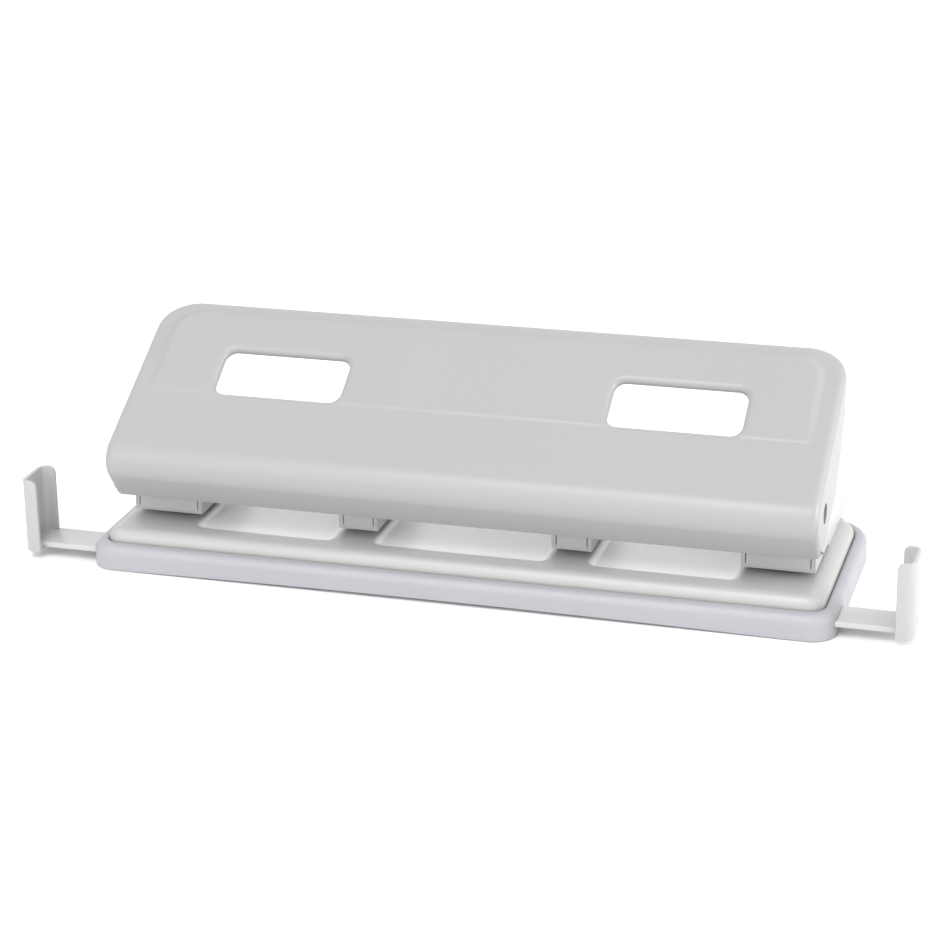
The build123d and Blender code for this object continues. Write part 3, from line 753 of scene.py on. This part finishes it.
class PUNCH_OT_base_plate(bpy.types.Operator):
    """Press the base plate: a shallow pan with three dished fields and a hole for each die"""
    bl_idname = "punch.base_plate"
    bl_label = "Base plate"

    def execute(self, context):
        s = context.scene.punch_base
        colours = context.scene.punch_colours
        piece = piece_from("base_plate_pressing", *plate_surface(s))
        mark_depth(piece, "dish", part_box("base_plate")[1].z, s.dish_depth)
        thicken(piece, s.sheet)
        settle(piece)
        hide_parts("base_plate")
        paint = enamel("plate_enamel_painted_light", colours.plate)
        # painted light: the dishes turn paler and cooler with depth, standing in for light and
        # reflection under the handle
        paint.tint_by("dish", colours.dish)
        paint.coat_by("dish", ENAMEL_COAT, DISH_COAT)
        paint.shader.inputs["Coat IOR"].default_value = DISH_COAT_IOR
        place(piece, "base", paint.material)
        return {"FINISHED"}


# ---- base moulding, guides and heads --------------------------------------------------------
class PUNCH_OT_base_shell(bpy.types.Operator):
    """Finish the base moulding, the chip tray in its floor and the rails' channels"""
    bl_idname = "punch.base_shell"
    bl_label = "Base moulding"

    def execute(self, context):
        colours = context.scene.punch_colours
        shell = moulded_plastic("shell_plastic", colours.shell)
        channel = moulded_plastic("channel_plastic", colours.inner)
        finish_nodes(["base_shell", "chip_tray"], shell)
        finish_nodes([f"{side}_rail_channel" for side in SIDES], channel)
        return {"FINISHED"}


class PUNCH_OT_brackets(bpy.types.Operator):
    """Round the edges of the four bent brackets and enamel them"""
    bl_idname = "punch.brackets"
    bl_label = "Brackets"

    def execute(self, context):
        # painted light: a paler copy of the handle's enamel brightens the shaded brackets
        paint = enamel("bracket_enamel_painted_light", context.scene.punch_colours.bracket).material
        for n in HEADS:
            piece = eased_copy(f"bracket_{n}", 0.25 * MM)
            place(piece, "base", paint)
        return {"FINISHED"}


class PUNCH_OT_guides(bpy.types.Operator):
    """Round the edges of both paper guides and give them their finishes"""
    bl_idname = "punch.guides"
    bl_label = "Paper guides"

    def execute(self, context):
        colours = context.scene.punch_colours
        plastic = moulded_plastic("guide_plastic", colours.guide)
        paint = enamel("rail_enamel", colours.rail, 0.36).material
        for side in SIDES:
            stop = eased_copy(f"{side}_guide_stop", 0.35 * MM, 3)
            place(stop, f"{side}_guide", plastic)
            rail = eased_copy(f"{side}_guide_rail", 0.4 * MM, 3)
            place(rail, f"{side}_guide", paint)
        return {"FINISHED"}


SPRING_WIRE_R = 0.40 * MM
SPRING_GAP = 0.1 * MM           # left between the coils and the CAD node's outer face
SPRING_TURNS = 5.5
END_TURNS = 0.9                 # nearly flat turns at each end
END_RISE = 0.06                 # share of the height that is climbed evenly all along
SMOOTH_RISE = 0.35              # share of the rest that follows a smooth step
STEPS_PER_TURN, WIRE_SIDES = 28, 10


def coil_surface(centre, low, high, radius, wire, turns):
    """Wound spring: a circle of the wire's radius carried along a helix.

    A small share of the height is climbed evenly along the whole wire. The rest is climbed between
    the end turns, partly evenly and partly as a smooth step, so the end turns lie nearly flat. Each
    end is closed by shrinking its last circle to the middle of the one before.
    """
    share = np.linspace(0, 1, int(turns * STEPS_PER_TURN) + 1)
    lead = END_TURNS / turns
    between = np.clip((share - lead) / (1 - 2 * lead), 0, 1)
    between = SMOOTH_RISE * ease(between) + (1 - SMOOTH_RISE) * between
    climb = END_RISE * share + (1 - END_RISE) * between
    theta = 2 * pi * turns * share
    z = low + wire + (high - low - 2 * wire) * climb
    radial = np.stack([np.cos(theta), np.sin(theta), np.zeros_like(theta)], axis=-1)
    spine = np.array([centre.x, centre.y, 0]) + radius * radial
    spine[:, 2] = z
    along = np.gradient(spine, axis=0)
    along /= np.linalg.norm(along, axis=1)[:, None]
    across = np.cross(along, radial)
    around = np.linspace(0, 2 * pi, WIRE_SIDES + 1)[:-1, None]
    ring = np.cos(around) * radial[:, None] + np.sin(around) * across[:, None]
    points = spine[:, None] + wire * ring
    points[0] = spine[1]
    points[-1] = spine[-2]
    return points, grid_quads(*points.shape[:2], wrap=True)


class PUNCH_OT_springs(bpy.types.Operator):
    """Wind the four return springs"""
    bl_idname = "punch.springs"
    bl_label = "Return springs"

    def execute(self, context):
        colour = context.scene.punch_colours.wire
        wire = plated_steel("spring_wire", colour, 0.34, (1, 1, 1), 0.15)
        for n in HEADS:
            low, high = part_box(f"return_spring_{n}")
            centre = (low + high) / 2
            coil_r = (high.x - low.x) / 2 - SPRING_WIRE_R - SPRING_GAP
            shape = coil_surface(centre, low.z, high.z, coil_r, SPRING_WIRE_R, SPRING_TURNS)
            piece = settle(piece_from(f"return_spring_coil_{n}", *shape, outward=True))
            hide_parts(f"return_spring_{n}")
            place(piece, "base", wire)
            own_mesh(piece)
        return {"FINISHED"}


class PUNCH_OT_hardware(bpy.types.Operator):
    """Finish the steel inside: pins, dies, shaft, rings, rivets, posts, screws and press bar"""
    bl_idname = "punch.hardware"
    bl_label = "Pins, shaft and fasteners"

    def execute(self, context):
        colours = context.scene.punch_colours
        turned = plated_steel("turned_steel", colours.steel, 0.38, (1, 1, 6))
        drawn = plated_steel("drawn_shaft", colours.shaft, 0.42, (9, 1, 1))
        ground = plated_steel("ground_tool_steel", colours.tool, 0.24, (1, 1, 0.4), 0.12)
        finish_nodes(["bracket_rivets", "base_posts", "assembly_screws", "tray_hinge_pins"], turned)
        finish_nodes(["pivot_shaft", "shaft_rings"] + [f"pin_clip_{n}" for n in HEADS], drawn)
        finish_nodes([f"{part}_{n}" for part in ("punch_pin", "die_bush") for n in HEADS], ground)
        finish_nodes(["press_bar"], enamel("bar_enamel", colours.enamel, 0.4).material)
        finish_nodes(["pivot_washers"], moulded_plastic("washer_plastic", colours.washer))
        finish_nodes(["rubber_feet"], soft_rubber("foot_rubber", colours.rubber))
        return {"FINISHED"}


# ---- stage --------------------------------------------------------------------------------
LOOK_AT = Vector((2.24, -12.2, 50.0)) * MM      # the camera's and the lights' target
SENSOR_WIDTH = 36                               # millimetres, like the lens
VIEW_DEPTH = 50                                 # metres
FLOOR_HALF = 4                                  # metres
FLOOR_DROP = 0.02 * MM                          # keeps the floor off the rubber feet
LIGHTS = (                                      # name, direction, distance, size, watts
    ("key_light", (1.0, 0.1, 0.36), 1.6, 0.9, 16),
    ("top_light", (-0.05, -0.7, 1.0), 1.7, 0.9, 11),
    ("front_light", (-0.3, -1.0, 0.42), 1.7, 1.2, 6.5),
)


def soft_light(name, towards, distance, size, power):
    """Square area light that stands in a direction from the target and faces it."""
    lamp = bpy.data.lights.new(name, "AREA")
    lamp.shape = "SQUARE"
    lamp.size = size
    lamp.energy = power
    light = bpy.data.objects.new(name, lamp)
    bpy.context.scene.collection.objects.link(light)
    direction = Vector(towards).normalized()
    light.location = LOOK_AT + direction * distance
    light.rotation_euler = direction.to_track_quat("Z", "Y").to_euler()


class PUNCH_OT_stage(bpy.types.Operator):
    """Set up the pale floor, the soft lights and the camera"""
    bl_idname = "punch.stage"
    bl_label = "Studio"

    def execute(self, context):
        view = context.scene.punch_view
        self.floor()
        self.lights(view)
        self.camera(view)
        context.scene.view_settings.view_transform = "Standard"
        return {"FINISHED"}

    def floor(self):
        """A wide level floor, one flat grid."""
        line = np.linspace(-FLOOR_HALF, FLOOR_HALF, 5)
        x, y = np.meshgrid(line, line)
        points = np.stack([x, y, np.full_like(x, -FLOOR_DROP)], axis=-1)
        floor = piece_from("studio_floor", points, grid_quads(*points.shape[:2]))
        finish = Finish("floor_paper", (0.93, 0.93, 0.93), 0.9)
        finish.vary_colour(finish.noise(3, 3), 0.01)
        finish.bump(finish.noise(900, 3), 0.01 * MM)
        floor.data.materials.append(finish.material)

    def lights(self, view):
        """Even light from all round, and the soft lights."""
        world = bpy.data.worlds.new("studio")
        world.use_nodes = True
        background = world.node_tree.nodes["Background"]
        background.inputs["Color"].default_value = (1.0, 1.0, 1.0, 1)
        background.inputs["Strength"].default_value = view.sky
        bpy.context.scene.world = world
        for light in LIGHTS:
            soft_light(*light)

    def camera(self, view):
        """Looks at the target from the given azimuth and elevation, then rolls about the view."""
        flat = cos(view.elevation)
        back = Vector((sin(view.azimuth) * flat, -cos(view.azimuth) * flat, sin(view.elevation)))
        right = Vector((cos(view.azimuth), sin(view.azimuth), 0))
        up = back.cross(right)
        rolled_right = cos(view.roll) * right + sin(view.roll) * up
        rolled_up = cos(view.roll) * up - sin(view.roll) * right
        turn = Matrix((rolled_right, rolled_up, back)).transposed()
        lens = bpy.data.cameras.new("camera")
        lens.lens = view.lens
        lens.sensor_width = SENSOR_WIDTH
        lens.shift_x, lens.shift_y = view.shift_x, view.shift_y
        lens.clip_end = VIEW_DEPTH
        camera = bpy.data.objects.new("camera", lens)
        bpy.context.scene.collection.objects.link(camera)
        camera.matrix_world = Matrix.Translation(LOOK_AT + back * view.distance) @ turn.to_4x4()
        bpy.context.scene.camera = camera


# ---- panel and registration ---------------------------------------------------------------
PARTS = (
    PUNCH_OT_handle, PUNCH_OT_base_plate, PUNCH_OT_base_shell, PUNCH_OT_brackets, PUNCH_OT_guides,
    PUNCH_OT_springs, PUNCH_OT_hardware, PUNCH_OT_stage,
)
SETTINGS = {
    "punch_handle": PunchHandleSizes, "punch_base": PunchBaseSizes, "punch_colours": PunchColours,
    "punch_view": PunchView,
}


class PUNCH_PT_panel(bpy.types.Panel):
    """Lists the sizes, the colours and the steps"""
    bl_label = "Desk punch"
    bl_idname = "PUNCH_PT_panel"
    bl_space_type = "VIEW_3D"
    bl_region_type = "UI"
    bl_category = "Punch"

    def draw(self, context):
        for name in SETTINGS:
            group = getattr(context.scene, name)
            box = self.layout.box()
            for prop in group.bl_rna.properties:
                if prop.identifier not in ("rna_type", "name"):
                    box.prop(group, prop.identifier)
        for part in PARTS:
            self.layout.operator(part.bl_idname)


def register():
    for group in SETTINGS.values():
        bpy.utils.register_class(group)
    for part in (*PARTS, PUNCH_PT_panel):
        bpy.utils.register_class(part)
    for name, group in SETTINGS.items():
        setattr(bpy.types.Scene, name, bpy.props.PointerProperty(type=group))


def unregister():
    for name in SETTINGS:
        delattr(bpy.types.Scene, name)
    for part in (PUNCH_PT_panel, *reversed(PARTS)):
        bpy.utils.unregister_class(part)
    for group in SETTINGS.values():
        bpy.utils.unregister_class(group)


def main():
    """Makes every piece and the stage."""
    register()
    for part in PARTS:
        category, action = part.bl_idname.split(".")
        getattr(getattr(bpy.ops, category), action)()


if __name__ == "__main__":
    main()
